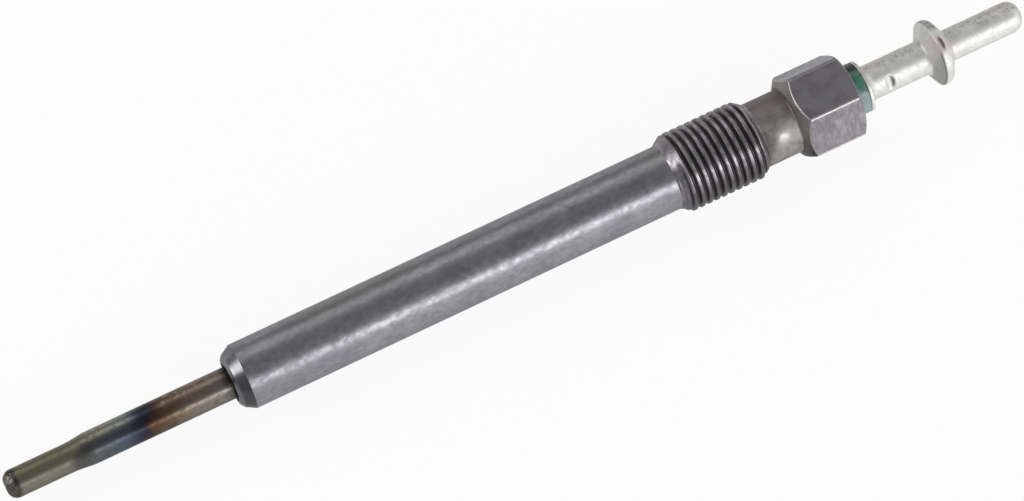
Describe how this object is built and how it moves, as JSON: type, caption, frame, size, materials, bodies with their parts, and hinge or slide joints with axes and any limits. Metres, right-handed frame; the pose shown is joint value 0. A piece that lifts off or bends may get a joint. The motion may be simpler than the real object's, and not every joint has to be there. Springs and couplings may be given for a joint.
{
  "type": "diesel glow plug",
  "caption": "Diesel glow plug with a slim sheathed heater, long round shank, fine thread, spanner hexagon, insulated round terminal pin and the coils, filling and rod inside.",
  "frame": {"origin": "on the axis, in the plane of the housing's front face, where the conical seat begins", "axes": "+X along the axis from the heater tip to the terminal pin, +Z normal to a flat of the hexagon, up as it lies on the opposite flat"},
  "size_m": [0.1348, 0.0116, 0.01],
  "materials": {
    "steel_shell": "ground steel with a thin grey-brown oxide",
    "heater_sheath": "nickel alloy with heat colours, olive at the tip, blue in the middle, brown towards the shank",
    "heating_wire": "oxidised resistance wire",
    "control_wire": "drawn nickel-iron wire",
    "magnesia": "pressed matt powder",
    "red_rubber": "matt heat-proof rubber",
    "rod_steel": "drawn steel",
    "black_rubber": "smooth rubber",
    "green_plastic": "moulded glass-filled plastic",
    "tinned_steel": "satin tin plating, blotched"
  },
  "bodies": {
    "root": {"housing": "steel_shell", "heater_tube": "heater_sheath", "heating_coil": "heating_wire", "control_coil": "control_wire", "magnesia_filling": "magnesia", "tube_seal": "red_rubber", "connecting_rod": "rod_steel", "ring_seal": "black_rubber", "insulating_bush": "green_plastic", "terminal_cap": "tinned_steel"}
  },
  "joints": []
}
